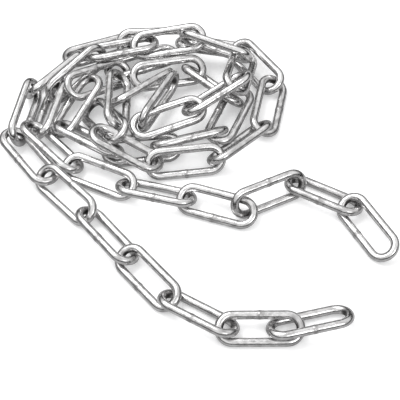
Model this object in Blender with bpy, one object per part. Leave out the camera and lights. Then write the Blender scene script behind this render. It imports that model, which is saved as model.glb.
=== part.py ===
"""Heap of long-link steel chain, lying loose on a level floor.

Every link is one welded ring of round bar with straight legs and half-round bows. The table of
places says where each link lies. Those places were read by hand and are good to a millimetre or
two, so a fitting pass then shifts each link until its wire clears all the others, stays hooked
to its neighbours in the run and comes to rest on the floor or on the links below.
"""
import math

import bmesh
import bpy
import numpy as np
from mathutils import Matrix, Vector

MM = 0.001

# size of one link
WIRE_DIAMETER = 4.0 * MM
PITCH = 32.0 * MM
OUTER_WIDTH = 16.0 * MM
WIRE_RADIUS = WIRE_DIAMETER / 2
BOW_RADIUS = (OUTER_WIDTH - WIRE_DIAMETER) / 2
CROWN_SPAN = PITCH + WIRE_DIAMETER
HALF_LEG = CROWN_SPAN / 2 - BOW_RADIUS

# fineness of the mesh
BOW_STEPS = 7
WIRE_SIDES = 10
SHARP_ANGLE = math.radians(60)

# fitting pass
WIRE_GAP = 0.4 * MM
HOOK_PLAY = 0.15 * MM
FIT_ROUNDS = 1200
SPREAD_UNTIL = 0.3
LOWER_UNTIL = 0.65
LOWER_STEP = 0.012 * MM
RETURN_SHARE = 0.004
LOWER_RETURN_SHARE = RETURN_SHARE / 6
CROWD_SHARE = 1.6
STEP_LIMIT = 0.8 * MM
TURN_LIMIT = 0.06
NEAR_MARGIN = 3.0 * MM
NEAR_REACH = CROWN_SPAN + WIRE_DIAMETER + NEAR_MARGIN
TINY = 1e-12
PARALLEL = 1e-9 * MM ** 4
# resistance of a link to turning about its own length, width and thickness, per unit of mass
TURN_RESISTANCE = np.array([20.0, 140.0, 160.0]) * MM * MM

# bare bright steel
STEEL_COLOUR = (0.62, 0.63, 0.64, 1.0)
STEEL_ROUGHNESS = 0.28
STEEL_METALLIC = 1.0

# where each link lies: x, y, height of its middle in mm, then heading, pitch and roll in degrees
OUTER_RUN = [
    (48, -70, 4.5, -166, 0, 20),
    (26.5, -74, 6, 180, 0, -33),
    (-0.5, -66.5, 5, 153, 0, 23),
    (-23.5, -48, 5.5, 133, 0, -28),
    (-43, -23, 5, 136, 0, 20),
    (-62.5, -3, 5.5, 139, 0, -28),
    (-82, 21, 5.5, 136, 0, 28),
    (-87.5, 48, 8, 79, 0, 78),
    (-76.5, 74, 6.8, 44, 0, -42),
    (-52.5, 96.8, 5, 25, 0, -18),
    (-21.3, 96.8, 5.2, 3, 0, 22),
    (9.5, 98.5, 5, -16, 0, -20),
    (29.5, 84, 5.5, -50, 0, 30),
    (33, 57, 5, -102, 0, -15),
    (20, 31, 6, -136, 0, 40),
    (-4.5, 17.5, 6, -170, 0, -35),
    (-35, 25, 7.5, 150, 3, 20),
    (-49.5, 44, 6.5, 118, -10, -25),
    (-42, 53, 9.5, 83, -5, 28),
    (-31, 64.5, 8.5, 35, 0, -32),
    (-16, 75.5, 7, 9, -6, 22),
    (5, 67, 3.8, -50, -3, -28),
    (15.5, 49, 5.5, 65, -8, 0),
    (-4.5, 30.5, 8, 12, 0, -42),
    (-28.5, 29, 3.5, 6, 3, 6),
    (-57, 32.5, 5.5, -36, -1, -38),
    (-60, 53, 8.5, -116, -10, 30),
    (-51.5, 68.5, 10, -133, 7, -28),
    (-30.5, 84.5, 5, -158, 2, 25),
]
INNER_RUN = [
    (77.5, -19.5, 4.5, -60, 0, 22),
    (59, 0, 5, -26, 0, -23),
    (33.5, -2.5, 7, 24.6, 0, 48),
    (8.8, -6.8, 4, -20, 0, 5),
    (-21.5, 0, 4.5, -12.5, 0, -30),
    (-48.5, 12, 6, -23, 0, 28),
    (-73.5, 27.5, 5.5, -46, 0, -35),
    (-75.5, 53.5, 6, -109, -3, 28),
    (-63.5, 75, 8.5, -132, 0, 75),
    (-41.5, 86.5, 12, -167, 0, 15),
    (-16, 92, 12, -177, 0, -35),
    (8.5, 86, 13, 162, 0, 40),
    (22.5, 69.5, 14, 88, -8, -5),
    (7, 55.5, 12.5, 42, 2, -36),
    (-17, 42, 8.5, 11, 3, 10),
    (-23, 52.5, 9, -118, -4, 55),
]


def clear_scene():
    for item in list(bpy.data.objects):
        bpy.data.objects.remove(item, do_unlink=True)


def read_pose(row):
    """Middle of a link in metres and its turning matrix: columns are length, width, thickness."""
    x, y, z, heading, pitch, roll = row
    heading, pitch, roll = (math.radians(a) for a in (heading, pitch, roll))
    along = np.array([math.cos(pitch) * math.cos(heading),
                      math.cos(pitch) * math.sin(heading),
                      math.sin(pitch)])
    left = np.array([-math.sin(heading), math.cos(heading), 0.0])
    across = left * math.cos(roll) + np.cross(along, left) * math.sin(roll)
    return np.array([x, y, z]) * MM, np.stack([along, across, np.cross(along, across)], 1)


def ring_line():
    """Corner points of the wire's middle line in the link's own frame."""
    points = []
    for side, start in ((1, -math.pi / 2), (-1, math.pi / 2)):
        for step in range(BOW_STEPS + 1):
            angle = start + math.pi * step / BOW_STEPS
            points.append((side * HALF_LEG + BOW_RADIUS * math.cos(angle),
                           BOW_RADIUS * math.sin(angle), 0.0))
    return np.array(points)


def closest_points(a0, a1, b0, b1):
    """Closest points of straight pieces a0-a1 and b0-b1."""
    da, db, between = a1 - a0, b1 - b0, a0 - b0
    aa, bb, ab = (da * da).sum(-1), (db * db).sum(-1), (da * db).sum(-1)
    ac, bc = (da * between).sum(-1), (db * between).sum(-1)
    area = aa * bb - ab * ab
    s = np.where(area > PARALLEL, np.clip((ab * bc - ac * bb) / np.maximum(area, PARALLEL), 0, 1), 0.0)
    t_free = (ab * s + bc) / bb
    t = np.clip(t_free, 0, 1)
    s = np.where(t_free != t, np.clip((ab * t - ac) / aa, 0, 1), s)
    return a0 + da * s[..., None], b0 + db * t[..., None]


def turning(vectors):
    """Turning matrices for small turns given as axis times angle."""
    angle = np.linalg.norm(vectors, axis=-1, keepdims=True)
    axis = vectors / np.maximum(angle, TINY)
    skew = np.zeros(vectors.shape[:-1] + (3, 3))
    skew[..., 0, 1], skew[..., 0, 2] = -axis[..., 2], axis[..., 1]
    skew[..., 1, 0], skew[..., 1, 2] = axis[..., 2], -axis[..., 0]
    skew[..., 2, 0], skew[..., 2, 1] = -axis[..., 1], axis[..., 0]
    sine, cosine = np.sin(angle)[..., None], np.cos(angle)[..., None]
    return np.eye(3) + sine * skew + (1 - cosine) * (skew @ skew)


class Shifts:
    """Shifts and turns asked of every link in one round."""

    def __init__(self, middles, turns):
        count = len(middles)
        self.middles, self.turns = middles, turns
        self.move = np.zeros((count, 3))
        self.turn = np.zeros((count, 3))
        self.asked = np.zeros(count)

    def yielding(self, links, points, normals):
        lever = np.cross(points - self.middles[links], normals)
        local = np.einsum("nji,nj->ni", self.turns[links], lever) / TURN_RESISTANCE
        turn = np.einsum("nij,nj->ni", self.turns[links], local)
        return turn, 1 + (turn * lever).sum(1)

    def add(self, links, moves, turns):
        np.add.at(self.move, links, moves)
        np.add.at(self.turn, links, turns)
        np.add.at(self.asked, links, 1)

    def part(self, first, second, points_a, points_b, normals, depth):
        turn_a, yield_a = self.yielding(first, points_a, normals)
        turn_b, yield_b = self.yielding(second, points_b, normals)
        share = (depth / (yield_a + yield_b))[:, None]
        self.add(first, normals * share, turn_a * share)
        self.add(second, -normals * share, -turn_b * share)

    def lift(self, links, points, depth):
        up = np.tile([0.0, 0.0, 1.0], (len(links), 1))
        turn, give = self.yielding(links, points, up)
        share = (depth / give)[:, None]
        self.add(links, up * share, turn * share)

    def limited(self):
        share = (CROWD_SHARE / np.maximum(self.asked, CROWD_SHARE))[:, None]
        move, turn = self.move * share, self.turn * share
        length = np.maximum(np.linalg.norm(move, axis=1), TINY)
        angle = np.maximum(np.linalg.norm(turn, axis=1), TINY)
        return (move * np.minimum(1, STEP_LIMIT / length)[:, None],
                turn * np.minimum(1, TURN_LIMIT / angle)[:, None])


def fit_links(runs):
    """Shift the links until wires clear one another, neighbours hook and all of them rest."""
    poses = [read_pose(row) for run in runs for row in run]
    run_of = np.concatenate([[index] * len(run) for index, run in enumerate(runs)])
    middles = np.array([middle for middle, turn in poses])
    turns = np.array([turn for middle, turn in poses])
    wanted_place, wanted_turn = middles[:, :2].copy(), turns.copy()
    line = ring_line()
    reach = WIRE_DIAMETER + WIRE_GAP
    all_first, all_second = np.triu_indices(len(poses), 1)
    for round_number in range(FIT_ROUNDS):
        starts = middles[:, None] + line @ turns.transpose(0, 2, 1)
        ends = np.roll(starts, -1, 1)
        near = np.linalg.norm(middles[all_first] - middles[all_second], axis=1) < NEAR_REACH
        first, second = all_first[near], all_second[near]
        on_a, on_b = closest_points(starts[first][:, :, None], ends[first][:, :, None],
                                    starts[second][:, None], ends[second][:, None])
        between = on_a - on_b
        distance = np.linalg.norm(between, axis=-1)
        shifts = Shifts(middles, turns)

        pair, a, b = np.nonzero(distance < reach)
        gap = distance[pair, a, b]
        normals = between[pair, a, b] / np.maximum(gap, TINY)[:, None]
        shifts.part(first[pair], second[pair], on_a[pair, a, b], on_b[pair, a, b], normals, reach - gap)

        flat = distance.reshape(len(first), -1)
        best = flat.argmin(1)
        least = flat[np.arange(len(first)), best]
        hooked = (second == first + 1) & (run_of[first] == run_of[second])
        pair = np.nonzero(hooked & (least > reach + HOOK_PLAY))[0]
        a, b = np.unravel_index(best[pair], distance.shape[1:])
        normals = between[pair, a, b] / least[pair][:, None]
        pull = np.maximum(reach + HOOK_PLAY / 2 - least[pair], -STEP_LIMIT / 2)
        shifts.part(first[pair], second[pair], on_a[pair, a, b], on_b[pair, a, b], normals, pull)

        sunk = WIRE_RADIUS - starts[:, :, 2]
        link, corner = np.nonzero(sunk > 0)
        shifts.lift(link, starts[link, corner], sunk[link, corner])

        move, turn = shifts.limited()
        middles = middles + move
        done = round_number / FIT_ROUNDS
        back = 0.0
        if done < SPREAD_UNTIL:
            back = RETURN_SHARE
        elif done < LOWER_UNTIL:
            back = LOWER_RETURN_SHARE
            middles[:, 2] -= LOWER_STEP
        middles[:, :2] += back * (wanted_place - middles[:, :2])
        astray = 0.5 * sum(np.cross(turns[:, :, k], wanted_turn[:, :, k]) for k in range(3))
        turns = turning(turn + back * astray) @ turns
        left, _, right = np.linalg.svd(turns)
        turns = left @ right
    return middles, turns


def link_mesh(name):
    """One ring of round bar: a bow turned about its middle, a leg, the other bow, the other leg."""
    form = bmesh.new()
    upright = Matrix.Translation((HALF_LEG, -BOW_RADIUS, 0)) @ Matrix.Rotation(math.pi / 2, 4, "Y")
    bmesh.ops.create_circle(form, cap_ends=False, segments=WIRE_SIDES, radius=WIRE_RADIUS, matrix=upright)
    opening = form.edges[:]
    start = form.verts[:] + opening
    turned = bmesh.ops.spin(form, geom=start, cent=(HALF_LEG, 0, 0), axis=(0, 0, 1),
                            dvec=(0, 0, 0), angle=math.pi, steps=BOW_STEPS, use_duplicate=False)
    edges = [part for part in turned["geom_last"] if isinstance(part, bmesh.types.BMEdge)]
    leg = bmesh.ops.extrude_edge_only(form, edges=edges)["geom"]
    corners = [part for part in leg if isinstance(part, bmesh.types.BMVert)]
    bmesh.ops.translate(form, verts=corners, vec=(-2 * HALF_LEG, 0, 0))
    rim = [part for part in leg if isinstance(part, bmesh.types.BMEdge)
           and all(corner in corners for corner in part.verts)]
    turned = bmesh.ops.spin(form, geom=corners + rim, cent=(-HALF_LEG, 0, 0), axis=(0, 0, 1),
                            dvec=(0, 0, 0), angle=math.pi, steps=BOW_STEPS, use_duplicate=False)
    closing = [part for part in turned["geom_last"] if isinstance(part, bmesh.types.BMEdge)]
    bmesh.ops.bridge_loops(form, edges=closing + opening)
    bmesh.ops.recalc_face_normals(form, faces=form.faces)
    mesh = bpy.data.meshes.new(name)
    form.to_mesh(mesh)
    form.free()
    mesh.shade_smooth()
    mesh.set_sharp_from_angle(angle=SHARP_ANGLE)
    return mesh


def steel(name):
    material = bpy.data.materials.new(name)
    material.use_nodes = True
    shader = material.node_tree.nodes["Principled BSDF"]
    shader.inputs["Base Color"].default_value = STEEL_COLOUR
    shader.inputs["Roughness"].default_value = STEEL_ROUGHNESS
    shader.inputs["Metallic"].default_value = STEEL_METALLIC
    return material


def place_link(name, pattern, middle, turn):
    mesh = pattern.copy()
    mesh.name = name
    mesh.materials.append(steel(name + "_steel"))
    link = bpy.data.objects.new(name, mesh)
    bpy.context.scene.collection.objects.link(link)
    link.matrix_world = Matrix.Translation(Vector(middle)) @ Matrix(turn.tolist()).to_4x4()
    return link


def main():
    clear_scene()
    middles, turns = fit_links([OUTER_RUN, INNER_RUN])
    pattern = link_mesh("chain_link")
    outline = np.array([corner.co for corner in pattern.vertices])
    corners = (middles[:, None] + outline @ turns.transpose(0, 2, 1)).reshape(-1, 3)
    low, high = corners.min(0), corners.max(0)
    middles = middles - np.array([(low[0] + high[0]) / 2, (low[1] + high[1]) / 2, low[2]])
    names = ["outer_run_link_%02d" % (k + 1) for k in range(len(OUTER_RUN))]
    names += ["inner_run_link_%02d" % (k + 1) for k in range(len(INNER_RUN))]
    for name, middle, turn in zip(names, middles, turns):
        place_link(name, pattern, middle, turn)
    bpy.data.meshes.remove(pattern)


main()
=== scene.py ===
"""Looks of a loose heap of bright steel long-link chain, ready to render or export.

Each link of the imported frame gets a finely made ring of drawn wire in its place: straight legs,
round bows, the swell of the butt weld half way along one leg and the marks that the welding jaws
leave beside it. The stage is a pale floor under soft studio light.
"""

import math

import bmesh
import bpy
import numpy as np
from mathutils import Matrix, Vector


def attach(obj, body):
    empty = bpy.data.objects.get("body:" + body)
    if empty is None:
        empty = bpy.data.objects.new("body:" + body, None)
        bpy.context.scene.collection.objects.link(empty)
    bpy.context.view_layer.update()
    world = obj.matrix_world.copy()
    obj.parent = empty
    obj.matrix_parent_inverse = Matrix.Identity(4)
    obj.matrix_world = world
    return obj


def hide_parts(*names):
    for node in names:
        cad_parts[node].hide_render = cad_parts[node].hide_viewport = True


bl_info = {
    "name": "Steel Chain Heap",
    "version": (1, 0, 0),
    "blender": (4, 5, 0),
    "location": "View3D > Sidebar > Chain Heap",
    "description": "Dresses a heap of long-link chain in bright drawn steel and sets a pale stage",
    "category": "Object",
}

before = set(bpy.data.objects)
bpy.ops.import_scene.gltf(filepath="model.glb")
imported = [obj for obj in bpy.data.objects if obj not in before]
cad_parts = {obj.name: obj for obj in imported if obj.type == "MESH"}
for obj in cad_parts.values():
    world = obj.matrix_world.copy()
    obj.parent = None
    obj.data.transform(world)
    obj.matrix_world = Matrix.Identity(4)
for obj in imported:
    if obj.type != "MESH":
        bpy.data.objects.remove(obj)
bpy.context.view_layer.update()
BODY = "root"

MM = 0.001
OUTER_RUN = "outer_run_link_"
INNER_RUN = "inner_run_link_"

# welds sit on the leg nearer the front, apart from those of these links
WELD_ON_FAR_LEG = (
    "outer_run_link_02", "outer_run_link_06", "outer_run_link_09", "outer_run_link_12",
    "outer_run_link_15", "outer_run_link_20", "outer_run_link_23", "outer_run_link_28",
    "inner_run_link_03", "inner_run_link_06", "inner_run_link_08", "inner_run_link_12",
)

# stations along half of the welded leg, in parts of that half, closer together by the weld
WELD_STATIONS = (0.012, 0.025, 0.037, 0.05, 0.067, 0.09, 0.115, 0.15, 0.18, 0.21, 0.24, 0.27, 0.3,
                 0.34, 0.4, 0.5, 0.65, 0.82, 1.0)
PLAIN_LEG_STEPS = 12
BOW_STEPS = 20
WIRE_SIDES = 28

# the weld, its lengths in metres: ring of flash, thicker upset wire around it, and the jaw marks
# beside it, which may be turned round the wire and are narrower the higher the last number is
FLASH_REACH = 0.5 * MM
UPSET_HEIGHT = 0.05 * MM
UPSET_REACH = 1.6 * MM
JAW_DISTANCE = 2.9 * MM
JAW_REACH = 0.75 * MM
WELD_TINT_REACH = 1.5 * MM
WELD_STRAY = 0.5 * MM
JAW_TURN = 0.5
JAW_NARROWNESS = 6

# the ragged rim of the flash: how many waves go round the wire with how much each adds, and how
# far a wave may be shifted round the wire
RAGGED_WAVES = ((3, 0.35), (7, 0.25))
RAGGED_SHIFT = 6

# where one link bears on the next: how far round the bow, and how fast it fades round the wire
BEARING_ANGLE = math.radians(38)
BEARING_FADE = 1.5

# what sets the links apart: how far their noise is shifted, and a step between seeds
SEED_SPREAD = 60.0
SEED_STEP = 100

# noise on the wire: how fast it changes across and along the wire, per millimetre, and its detail
LINES = (7.0, 0.35, 3.0)
WAVES = (0.8, 0.4, 2.0)
DASHES = (1.9, 0.3, 3.0)
PATCHES = (0.55, 0.3, 4.0)
CRUMBS = (3.0, 3.0, 3.0)

# where each mark starts to show and where it shows in full, on the scale of what drives it
LINES_SHOW = (0.55, 0.8)
DASHES_SHOW = (0.56, 0.72)
SPECKS_SHOW = (0.66, 0.74)
STAINS_SHOW = (0.45, 0.8)
SCALE_SHOWS = (0.12, 0.8)
# the next is painted shade: a dark colour where one link bears on the next, standing in for the
# shade there
PAINTED_SHADE_SHOWS = (0.1, 0.6)

# crumbs break up the scale and the painted shade where one link bears on the next: from which value
# to which, and how much is left at least
SCALE_BREAKS = (0.35, 0.6, 0.3)
PAINTED_SHADE_BREAKS = (0.25, 0.65, 0.55)

# how much of the steel each mark covers where it shows in full
LINES_COVER = 0.35
DASHES_COVER = 0.75
SPECKS_COVER = 0.5
SCALE_COVER = 0.9
# the next is the painted shade where one link bears on the next
PAINTED_SHADE_COVER = 0.94
HANDLED_STAIN = 0.12

# what each mark adds to the roughness of the clean steel, the lines between two of their values
LINES_ROUGH = (0.3, 0.75)
LINES_ROUGHEN = 0.1
STAINS_ROUGHEN = 0.1
SCALE_ROUGHENS = 0.2
# the painted shade where links bear also gets this much more roughness
PAINTED_SHADE_ROUGHENS = 0.22

# bump: height of each mark against the long waves in the wire, and the height of those
LINES_HEIGHT = 0.16
CRUMBS_HEIGHT = 0.8
SPECKS_DEPTH = 0.2
BUMP_STRENGTH = 0.45
BUMP_HEIGHT = 0.12 * MM

# the floor: cells along a side, roughness, and how fine, detailed and shaded its slight tooth is
FLOOR_CELLS = 8
FLOOR_ROUGHNESS = 0.6
TOOTH_PER_METRE = 900.0
TOOTH_DETAIL = 2.0
TOOTH_SHADE = 0.985

# the room: the height of a direction where it starts to brighten and where it is in full light
ROOM_BRIGHTENS = (0.22, 0.6)
BACKDROP_BRIGHTNESS = 0.85
WHITE = (1.0, 1.0, 1.0, 1.0)
BLACK = (0.0, 0.0, 0.0, 1.0)

# soft boxes: name, place, width and depth in metres, and what the lamp power is divided by
SOFT_BOXES = (
    ("key_soft_box", (-0.35, 0.25, 0.9), 0.7, 0.5, 1.0),
    ("front_soft_box", (0.5, -0.7, 0.7), 0.5, 0.35, 3.0),
)

# the photograph's camera
CAMERA_PLACE = (0.003344, -0.341532, 0.4365)
CAMERA_ABOVE_HORIZON = math.radians(53)
CAMERA_LENS_MM = 102.9
CAMERA_SENSOR_MM = 36.0
CAMERA_NEAREST = 0.01


class ChainLinkSizes(bpy.types.PropertyGroup):
    """Sizes of one link of the chain."""

    wire_diameter: bpy.props.FloatProperty(
        name="Wire", description="Thickness of the round wire", default=4.0 * MM,
        unit="LENGTH", subtype="DISTANCE", min=0.5 * MM)
    pitch: bpy.props.FloatProperty(
        name="Pitch", description="Length of the open eye inside a link", default=32.0 * MM,
        unit="LENGTH", subtype="DISTANCE", min=5.0 * MM)
    width: bpy.props.FloatProperty(
        name="Width", description="Width across the outside of a link", default=16.0 * MM,
        unit="LENGTH", subtype="DISTANCE", min=3.0 * MM)
    flash_height: bpy.props.FloatProperty(
        name="Weld flash", description="How far the ring of weld flash stands proud",
        default=0.1 * MM, unit="LENGTH", subtype="DISTANCE", min=0.0, max=0.2 * MM)
    jaw_depth: bpy.props.FloatProperty(
        name="Jaw marks", description="Depth of the marks that the welding jaws leave",
        default=0.08 * MM, unit="LENGTH", subtype="DISTANCE", min=0.0, max=0.2 * MM)


class ChainSteelFinish(bpy.types.PropertyGroup):
    """Colours and polish of the drawn steel wire."""

    bright: bpy.props.FloatVectorProperty(
        name="Bright steel", description="Colour of the clean drawn surface",
        default=(0.75, 0.745, 0.745), subtype="COLOR", min=0.0, max=1.0)
    dull: bpy.props.FloatVectorProperty(
        name="Dull steel", description="Colour of the stained and handled patches",
        default=(0.4, 0.395, 0.395), subtype="COLOR", min=0.0, max=1.0)
    welded: bpy.props.FloatVectorProperty(
        name="Weld", description="Colour of the scale left around the weld",
        default=(0.34, 0.335, 0.335), subtype="COLOR", min=0.0, max=1.0)
    # painted shade: a dark colour laid where one link bears on the next, standing in for the shade
    # and dark reflection in that contact
    contact_shade: bpy.props.FloatVectorProperty(
        name="Contact_shade", description="Colour of the dark film where one link bears on the next",
        default=(0.07, 0.067, 0.065), subtype="COLOR", min=0.0, max=1.0)
    polish: bpy.props.FloatProperty(
        name="Roughness", description="Roughness of the clean drawn surface",
        default=0.15, subtype="FACTOR", min=0.02, max=0.9)


class ChainStageLook(bpy.types.PropertyGroup):
    """Floor and light of the stage."""

    floor_colour: bpy.props.FloatVectorProperty(
        name="Floor", description="Colour of the floor", default=(0.86, 0.86, 0.865),
        subtype="COLOR", min=0.0, max=1.0)
    floor_size: bpy.props.FloatProperty(
        name="Floor size", description="Length of one side of the floor", default=4.0,
        unit="LENGTH", subtype="DISTANCE", min=1.0)
    sky: bpy.props.FloatProperty(
        name="Overhead", description="Brightness of the white room overhead", default=1.04,
        min=0.0)
    horizon: bpy.props.FloatProperty(
        name="Horizon", description="Brightness of the dim room at the height of the floor",
        default=0.0, min=0.0)
    floor_in_wire: bpy.props.FloatProperty(
        name="Floor in wire", description="How bright the floor looks in the polished wire",
        default=0.42, subtype="FACTOR", min=0.0, max=1.0)
    floor_glow: bpy.props.FloatProperty(
        name="Floor glow", description="Light from below that keeps the shadows faint",
        default=0.3, min=0.0)
    lamp_power: bpy.props.FloatProperty(
        name="Soft box", description="Power of the big soft box", default=5.0,
        unit="POWER", min=0.0)


# wire and links


def drawn_on(form, rim, shift):
    """Draws the open rim of the wire on by one straight step and gives the new rim."""
    made = bmesh.ops.extrude_edge_only(form, edges=rim)["geom"]
    corners = {part for part in made if isinstance(part, bmesh.types.BMVert)}
    bmesh.ops.translate(form, verts=list(corners), vec=shift)
    return [part for part in made if isinstance(part, bmesh.types.BMEdge)
            and all(corner in corners for corner in part.verts)]


def bent_round(form, rim, centre):
    """Bends the wire half a turn about centre and gives the new rim."""
    corners = list({corner for edge in rim for corner in edge.verts})
    turned = bmesh.ops.spin(form, geom=corners + rim, cent=centre, axis=(0, 0, 1),
                            dvec=(0, 0, 0), angle=math.pi, steps=BOW_STEPS, use_duplicate=False)
    return [part for part in turned["geom_last"] if isinstance(part, bmesh.types.BMEdge)]


def bow_radius_of(sizes):
    return (sizes.width - sizes.wire_diameter) / 2


def half_leg_of(sizes):
    return (sizes.pitch + sizes.wire_diameter) / 2 - bow_radius_of(sizes)


def plain_link(sizes):
    """A smooth link about the origin: length along X, weld half way along the leg at +Y."""
    bow_radius, half_leg = bow_radius_of(sizes), half_leg_of(sizes)
    form = bmesh.new()
    start = Matrix.Translation((0, bow_radius, 0)) @ Matrix.Rotation(math.pi / 2, 4, "Y")
    bmesh.ops.create_circle(form, cap_ends=False, segments=WIRE_SIDES,
                            radius=sizes.wire_diameter / 2, matrix=start)
    opening = form.edges[:]
    steps = np.diff((0.0,) + WELD_STATIONS) * half_leg
    rim = opening
    for step in steps:
        rim = drawn_on(form, rim, (-step, 0, 0))
    rim = bent_round(form, rim, (-half_leg, 0, 0))
    for _ in range(PLAIN_LEG_STEPS):
        rim = drawn_on(form, rim, (2 * half_leg / PLAIN_LEG_STEPS, 0, 0))
    rim = bent_round(form, rim, (half_leg, 0, 0))
    for step in steps[:0:-1]:
        rim = drawn_on(form, rim, (-step, 0, 0))
    bmesh.ops.bridge_loops(form, edges=rim + opening)
    bmesh.ops.recalc_face_normals(form, faces=form.faces)
    mesh = bpy.data.meshes.new("plain_link")
    form.to_mesh(mesh)
    form.free()
    mesh.shade_smooth()
    return mesh


def wire_places(corners, sizes):
    """For corners of a link: the wire's middle there, the way out from it, the angle round the
    wire from the link's outside, the way along the ring from the weld, and the bow angle."""
    bow_radius, half_leg = bow_radius_of(sizes), half_leg_of(sizes)
    x, y, z = corners.T
    side = np.where(np.abs(x) > half_leg, np.sign(x), 0.0)
    upper = np.sign(y)
    bow = np.arctan2(y, np.abs(x) - half_leg)
    outwards = np.where(side != 0, np.cos(bow) * side, 0.0), np.where(side != 0, np.sin(bow), upper)
    outwards = np.stack([*outwards, np.zeros_like(x)], 1)
    middle = bow_radius * outwards
    middle[:, 0] += np.where(side != 0, side * half_leg, x)
    away = corners - middle
    angle = np.arctan2(z, (away * outwards).sum(1))
    arc = math.pi * bow_radius
    along = np.where(upper > 0, np.where(x > 0, 4 * half_leg + 2 * arc - x, -x),
                     2 * half_leg + arc + x)
    along = np.where(side < 0, half_leg + bow_radius * (math.pi / 2 - bow), along)
    along = np.where(side > 0, 3 * half_leg + arc + bow_radius * (math.pi / 2 + bow), along)
    return middle, away, angle, along, np.where(side != 0, bow, math.pi / 2)


def bell(distance, reach):
    return np.exp(-(distance / reach) ** 2)


def dress_wire(mesh, sizes, chance):
    """Raises the weld on one link and stores what its finish follows as attributes."""
    corners = np.empty(len(mesh.vertices) * 3, np.float32)
    mesh.vertices.foreach_get("co", corners)
    corners = corners.reshape(-1, 3).astype(float)
    middle, away, angle, along, bow = wire_places(corners, sizes)
    length = 4 * half_leg_of(sizes) + 2 * math.pi * bow_radius_of(sizes)
    from_weld = np.abs(corners[:, 0] - chance.uniform(-WELD_STRAY, WELD_STRAY))
    welded_leg = (corners[:, 1] > 0) & (np.abs(corners[:, 0]) < half_leg_of(sizes))
    ragged = 1.0
    for waves, share in RAGGED_WAVES:
        ragged = ragged + share * np.sin(waves * angle + chance.uniform(0, RAGGED_SHIFT))
    flash = bell(from_weld, FLASH_REACH) * ragged
    upset = bell(from_weld, UPSET_REACH)
    jaw_turn = chance.uniform(-JAW_TURN, JAW_TURN)
    jaws = bell(from_weld - JAW_DISTANCE, JAW_REACH) * np.cos(angle - jaw_turn) ** JAW_NARROWNESS
    swell = sizes.flash_height * flash + UPSET_HEIGHT * upset - sizes.jaw_depth * jaws
    swell = np.where(welded_leg, swell, 0.0)
    radius = np.linalg.norm(away, axis=1)
    corners = middle + away * (1 + swell / radius)[:, None]
    mesh.vertices.foreach_set("co", corners.ravel())

    turn = 2 * math.pi * along / length
    ring = length / (2 * math.pi) / MM
    seed = chance.uniform(-SEED_SPREAD, SEED_SPREAD, 4)
    wire = radius / MM
    grain = np.stack([wire * np.cos(angle), wire * np.sin(angle), ring * np.cos(turn)], 1)
    store(mesh, "wire_grain", grain + seed[:3])
    store(mesh, "wire_round", ring * np.sin(turn) + seed[3])
    weld = np.maximum(bell(from_weld, WELD_TINT_REACH), jaws)
    store(mesh, "weld", np.where(welded_leg, weld, 0.0))
    # where the next link bears inside the bow: the mask for the painted shade
    inside = np.clip(-np.cos(angle), 0, 1)
    store(mesh, "bearing", bell(bow, BEARING_ANGLE) * inside ** BEARING_FADE)
    store(mesh, "handled", np.full(len(corners), chance.uniform(0, 1)))


def store(mesh, name, values):
    """Keeps one value or three for each corner of the mesh under a name."""
    vector = values.ndim == 2
    layer = mesh.attributes.new(name, "FLOAT_VECTOR" if vector else "FLOAT", "POINT")
    layer.data.foreach_set("vector" if vector else "value", values.astype(np.float32).ravel())


def lie_of(node):
    """Where a link of the frame lies, with the local +Y leg towards the front."""
    corners = np.array([corner.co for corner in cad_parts[node].data.vertices])
    corners = np.unique(corners, axis=0)
    middle = corners.mean(0)
    along, across, _ = np.linalg.svd(corners - middle, full_matrices=False)[2]
    if across[1] > 0:
        across = -across
    if node in WELD_ON_FAR_LEG:
        across = -across
    up = np.cross(along, across)
    turn = Matrix(np.stack([along, across, up], 1).tolist()).to_4x4()
    return Matrix.Translation(Vector(middle)) @ turn


def lay_run(context, prefix):
    """Lays a finished link over every link of one run of the frame."""
    nodes = sorted(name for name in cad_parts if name.startswith(prefix))
    if not nodes:
        raise RuntimeError("the frame has no links named " + prefix)
    sizes = context.scene.chain_sizes
    pattern = plain_link(sizes)
    steel = drawn_steel(context.scene.chain_finish)
    for number, node in enumerate(nodes):
        chance = np.random.default_rng(number + SEED_STEP * len(nodes))
        mesh = pattern.copy()
        mesh.name = node + "_wire"
        dress_wire(mesh, sizes, chance)
        mesh.transform(lie_of(node))
        mesh.materials.append(steel)
        link = bpy.data.objects.new(mesh.name, mesh)
        context.scene.collection.objects.link(link)
        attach(link, BODY)
        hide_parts(node)
    bpy.data.meshes.remove(pattern)


# finishes


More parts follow.
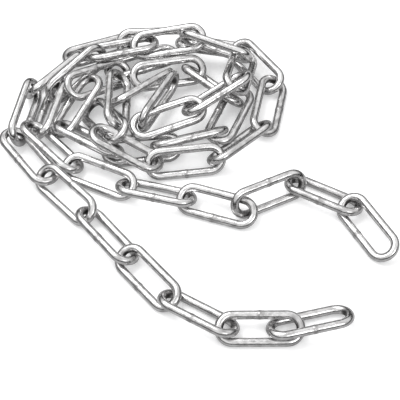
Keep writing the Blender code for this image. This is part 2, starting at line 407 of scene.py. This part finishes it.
class Wiring:
    """Short ways to add and join nodes in one tree."""

    def __init__(self, tree):
        self.tree = tree

    def node(self, kind, **settings):
        made = self.tree.nodes.new(kind)
        for name, value in settings.items():
            setattr(made, name, value)
        return made

    def feed(self, socket, value):
        if isinstance(value, bpy.types.NodeSocket):
            self.tree.links.new(value, socket)
        elif value is not None:
            socket.default_value = value

    def attribute(self, name, output):
        made = self.node("ShaderNodeAttribute", attribute_name=name)
        return made.outputs[output]

    def maths(self, operation, first, second):
        made = self.node("ShaderNodeMath", operation=operation)
        self.feed(made.inputs[0], first)
        self.feed(made.inputs[1], second)
        return made.outputs[0]

    def plus(self, first, second):
        return self.maths("ADD", first, second)

    def times(self, first, second):
        return self.maths("MULTIPLY", first, second)

    def stretched(self, vector, scale):
        made = self.node("ShaderNodeVectorMath", operation="MULTIPLY")
        self.feed(made.inputs[0], vector)
        self.feed(made.inputs[1], scale)
        return made.outputs[0]

    def noise(self, vector, scale, detail, fourth=None):
        made = self.node("ShaderNodeTexNoise", noise_dimensions="3D" if fourth is None else "4D")
        self.feed(made.inputs["Vector"], vector)
        self.feed(made.inputs["Scale"], scale)
        self.feed(made.inputs["Detail"], detail)
        if fourth is not None:
            self.feed(made.inputs["W"], fourth)
        return made.outputs[0]

    def noise_on_wire(self, grain, fourth, across, along, detail):
        """Noise in four dimensions, so that it closes on itself along the ring of the wire."""
        stretched = self.stretched(grain, (across, across, along))
        return self.noise(stretched, 1.0, detail, self.times(fourth, along))

    def between(self, value, low, high, to_low=0.0, to_high=1.0):
        made = self.node("ShaderNodeMapRange", interpolation_type="SMOOTHSTEP")
        for name, amount in (("Value", value), ("From Min", low), ("From Max", high),
                             ("To Min", to_low), ("To Max", to_high)):
            self.feed(made.inputs[name], amount)
        return made.outputs[0]

    def mixed(self, share, first, second):
        made = self.node("ShaderNodeMix", data_type="RGBA")
        self.feed(made.inputs[0], share)
        self.feed(made.inputs[6], first)
        self.feed(made.inputs[7], second)
        return made.outputs[2]


def rgba(colour):
    return (*colour, 1.0)


def drawn_steel(finish):
    """Bright drawn wire: fine lines, dull patches, scale at the weld, and painted shade where one
    link bears on the next.
    """
    steel = bpy.data.materials.get("bright_drawn_steel")
    if steel is not None:
        return steel
    steel = bpy.data.materials.new("bright_drawn_steel")
    steel.use_nodes = True
    wiring = Wiring(steel.node_tree)
    shader = steel.node_tree.nodes["Principled BSDF"]
    grain = wiring.attribute("wire_grain", "Vector")
    fourth = wiring.attribute("wire_round", "Fac")
    weld = wiring.attribute("weld", "Fac")
    bearing = wiring.attribute("bearing", "Fac")
    handled = wiring.attribute("handled", "Fac")
    lines, waves, dashes, patches, crumbs = (
        wiring.noise_on_wire(grain, fourth, *kind)
        for kind in (LINES, WAVES, DASHES, PATCHES, CRUMBS))

    stain = wiring.plus(patches, wiring.times(handled, HANDLED_STAIN))
    stain = wiring.between(stain, *STAINS_SHOW)
    # painted shade: the inside of each bow where the next link bears is darkened in the colour
    painted_shade = wiring.times(bearing, wiring.between(crumbs, *PAINTED_SHADE_BREAKS))
    painted_shade = wiring.between(painted_shade, *PAINTED_SHADE_SHOWS, 0.0, PAINTED_SHADE_COVER)
    scale = wiring.times(weld, wiring.between(crumbs, *SCALE_BREAKS))
    scale = wiring.between(scale, *SCALE_SHOWS, 0.0, SCALE_COVER)
    specks = wiring.between(crumbs, *SPECKS_SHOW)

    colour = rgba(finish.bright)
    for share, over in ((stain, finish.dull),
                        (wiring.between(lines, *LINES_SHOW, 0.0, LINES_COVER), finish.dull),
                        (wiring.between(dashes, *DASHES_SHOW, 0.0, DASHES_COVER), finish.welded),
                        (wiring.times(specks, SPECKS_COVER), finish.welded),
                        (scale, finish.welded),
                        # painted shade where one link bears on the next
                        (painted_shade, finish.contact_shade)):
        colour = wiring.mixed(share, colour, rgba(over))
    wiring.feed(shader.inputs["Base Color"], colour)

    rough = wiring.between(lines, *LINES_ROUGH, finish.polish, finish.polish + LINES_ROUGHEN)
    for mark, roughening in ((stain, STAINS_ROUGHEN), (scale, SCALE_ROUGHENS),
                             (painted_shade, PAINTED_SHADE_ROUGHENS)):
        rough = wiring.plus(rough, wiring.times(mark, roughening))
    wiring.feed(shader.inputs["Roughness"], rough)
    shader.inputs["Metallic"].default_value = 1.0

    height = wiring.plus(wiring.times(lines, LINES_HEIGHT), waves)
    height = wiring.plus(height, wiring.times(wiring.times(crumbs, weld), CRUMBS_HEIGHT))
    height = wiring.maths("SUBTRACT", height, wiring.times(specks, SPECKS_DEPTH))
    bump = wiring.node("ShaderNodeBump")
    bump.inputs["Strength"].default_value = BUMP_STRENGTH
    bump.inputs["Distance"].default_value = BUMP_HEIGHT
    wiring.feed(bump.inputs["Height"], height)
    wiring.feed(shader.inputs["Normal"], bump.outputs[0])
    return steel


def floor_finish(look):
    """Matt pale board with a barely visible tooth."""
    board = bpy.data.materials.new("pale_floor")
    board.use_nodes = True
    wiring = Wiring(board.node_tree)
    shader = board.node_tree.nodes["Principled BSDF"]
    place = wiring.node("ShaderNodeTexCoord").outputs["Object"]
    tooth = wiring.noise(place, TOOTH_PER_METRE, TOOTH_DETAIL)
    shaded = [TOOTH_SHADE * part for part in look.floor_colour]
    wiring.feed(shader.inputs["Base Color"],
                wiring.mixed(tooth, rgba(look.floor_colour), rgba(shaded)))
    shader.inputs["Roughness"].default_value = FLOOR_ROUGHNESS
    shader.inputs["Emission Color"].default_value = WHITE
    shader.inputs["Emission Strength"].default_value = look.floor_glow
    dark = wiring.node("ShaderNodeBsdfDiffuse")
    dark.inputs["Color"].default_value = BLACK
    mirrored = wiring.node("ShaderNodeMixShader")
    in_wire = wiring.node("ShaderNodeLightPath").outputs["Is Glossy Ray"]
    wiring.feed(mirrored.inputs[0], wiring.times(in_wire, 1 - look.floor_in_wire))
    wiring.feed(mirrored.inputs[1], shader.outputs[0])
    wiring.feed(mirrored.inputs[2], dark.outputs[0])
    output = board.node_tree.nodes["Material Output"]
    wiring.feed(output.inputs["Surface"], mirrored.outputs[0])
    return board


# stage


def room_light(look):
    """White overhead and dim at the height of the floor, so that bright wire shows dark lines."""
    world = bpy.data.worlds.new("white_room")
    world.use_nodes = True
    bpy.context.scene.world = world
    wiring = Wiring(world.node_tree)
    world.node_tree.nodes.clear()
    direction = wiring.node("ShaderNodeTexCoord").outputs["Generated"]
    split = wiring.node("ShaderNodeSeparateXYZ")
    wiring.feed(split.inputs[0], direction)
    strength = wiring.between(split.outputs["Z"], *ROOM_BRIGHTENS, look.horizon, look.sky)
    seen = wiring.node("ShaderNodeLightPath").outputs["Is Camera Ray"]
    strength = wiring.maths("MAXIMUM", strength, wiring.times(seen, BACKDROP_BRIGHTNESS))
    background = wiring.node("ShaderNodeBackground")
    wiring.feed(background.inputs["Strength"], strength)
    background.inputs["Color"].default_value = WHITE
    output = wiring.node("ShaderNodeOutputWorld")
    wiring.feed(output.inputs["Surface"], background.outputs[0])


def soft_box(name, place, width, depth, power):
    """A flat lamp at place that faces the heap."""
    lamp = bpy.data.lights.new(name, "AREA")
    lamp.shape = "RECTANGLE"
    lamp.size = width
    lamp.size_y = depth
    lamp.energy = power
    box = bpy.data.objects.new(name, lamp)
    bpy.context.scene.collection.objects.link(box)
    box.location = place
    box.rotation_euler = (-Vector(place)).to_track_quat("-Z", "Y").to_euler()
    return box


def photo_camera():
    lens = bpy.data.cameras.new("photo_camera")
    lens.lens = CAMERA_LENS_MM
    lens.sensor_width = CAMERA_SENSOR_MM
    lens.clip_start = CAMERA_NEAREST
    camera = bpy.data.objects.new("photo_camera", lens)
    bpy.context.scene.collection.objects.link(camera)
    camera.location = CAMERA_PLACE
    camera.rotation_euler = (math.pi / 2 - CAMERA_ABOVE_HORIZON, 0.0, 0.0)
    bpy.context.scene.camera = camera


# operators


class ChainLayOuterRun(bpy.types.Operator):
    """Lay finished links over the outer run of the heap"""

    bl_idname = "chain_heap.lay_outer_run"
    bl_label = "Lay Outer Run"
    bl_options = {"REGISTER", "UNDO"}

    def execute(self, context):
        lay_run(context, OUTER_RUN)
        return {"FINISHED"}


class ChainLayInnerRun(bpy.types.Operator):
    """Lay finished links over the inner run of the heap"""

    bl_idname = "chain_heap.lay_inner_run"
    bl_label = "Lay Inner Run"
    bl_options = {"REGISTER", "UNDO"}

    def execute(self, context):
        lay_run(context, INNER_RUN)
        return {"FINISHED"}


class ChainSetStage(bpy.types.Operator):
    """Set the pale floor, the soft light and the camera"""

    bl_idname = "chain_heap.set_stage"
    bl_label = "Set Stage"
    bl_options = {"REGISTER", "UNDO"}

    def execute(self, context):
        look = context.scene.chain_stage
        form = bmesh.new()
        bmesh.ops.create_grid(form, x_segments=FLOOR_CELLS, y_segments=FLOOR_CELLS,
                              size=look.floor_size / 2)
        mesh = bpy.data.meshes.new("floor")
        form.to_mesh(mesh)
        form.free()
        mesh.materials.append(floor_finish(look))
        floor = bpy.data.objects.new("floor", mesh)
        context.scene.collection.objects.link(floor)
        room_light(look)
        boxes = [soft_box(name, place, width, depth, look.lamp_power / dimmed)
                 for name, place, width, depth, dimmed in SOFT_BOXES]
        photo_camera()
        context.scene.view_settings.view_transform = "Standard"
        return {"FINISHED"}


class ChainHeapPanel(bpy.types.Panel):
    """Chain heap tools in the 3D view's sidebar"""

    bl_idname = "VIEW3D_PT_chain_heap"
    bl_label = "Chain Heap"
    bl_space_type = "VIEW_3D"
    bl_region_type = "UI"
    bl_category = "Chain Heap"

    def draw(self, context):
        scene = context.scene
        layout = self.layout
        for title, group in (("Link", scene.chain_sizes), ("Steel", scene.chain_finish),
                             ("Stage", scene.chain_stage)):
            layout.label(text=title)
            column = layout.column(align=True)
            for name in group.bl_rna.properties.keys():
                if name not in ("rna_type", "name"):
                    column.prop(group, name)
        for operator in (ChainLayOuterRun, ChainLayInnerRun, ChainSetStage):
            layout.operator(operator.bl_idname)


CLASSES = (
    ChainLinkSizes,
    ChainSteelFinish,
    ChainStageLook,
    ChainLayOuterRun,
    ChainLayInnerRun,
    ChainSetStage,
    ChainHeapPanel,
)


def register():
    for kind in CLASSES:
        bpy.utils.register_class(kind)
    bpy.types.Scene.chain_sizes = bpy.props.PointerProperty(type=ChainLinkSizes)
    bpy.types.Scene.chain_finish = bpy.props.PointerProperty(type=ChainSteelFinish)
    bpy.types.Scene.chain_stage = bpy.props.PointerProperty(type=ChainStageLook)


def unregister():
    del bpy.types.Scene.chain_stage
    del bpy.types.Scene.chain_finish
    del bpy.types.Scene.chain_sizes
    for kind in reversed(CLASSES):
        bpy.utils.unregister_class(kind)


def main():
    register()
    bpy.ops.chain_heap.lay_outer_run()
    bpy.ops.chain_heap.lay_inner_run()
    bpy.ops.chain_heap.set_stage()


if __name__ == "__main__":
    main()
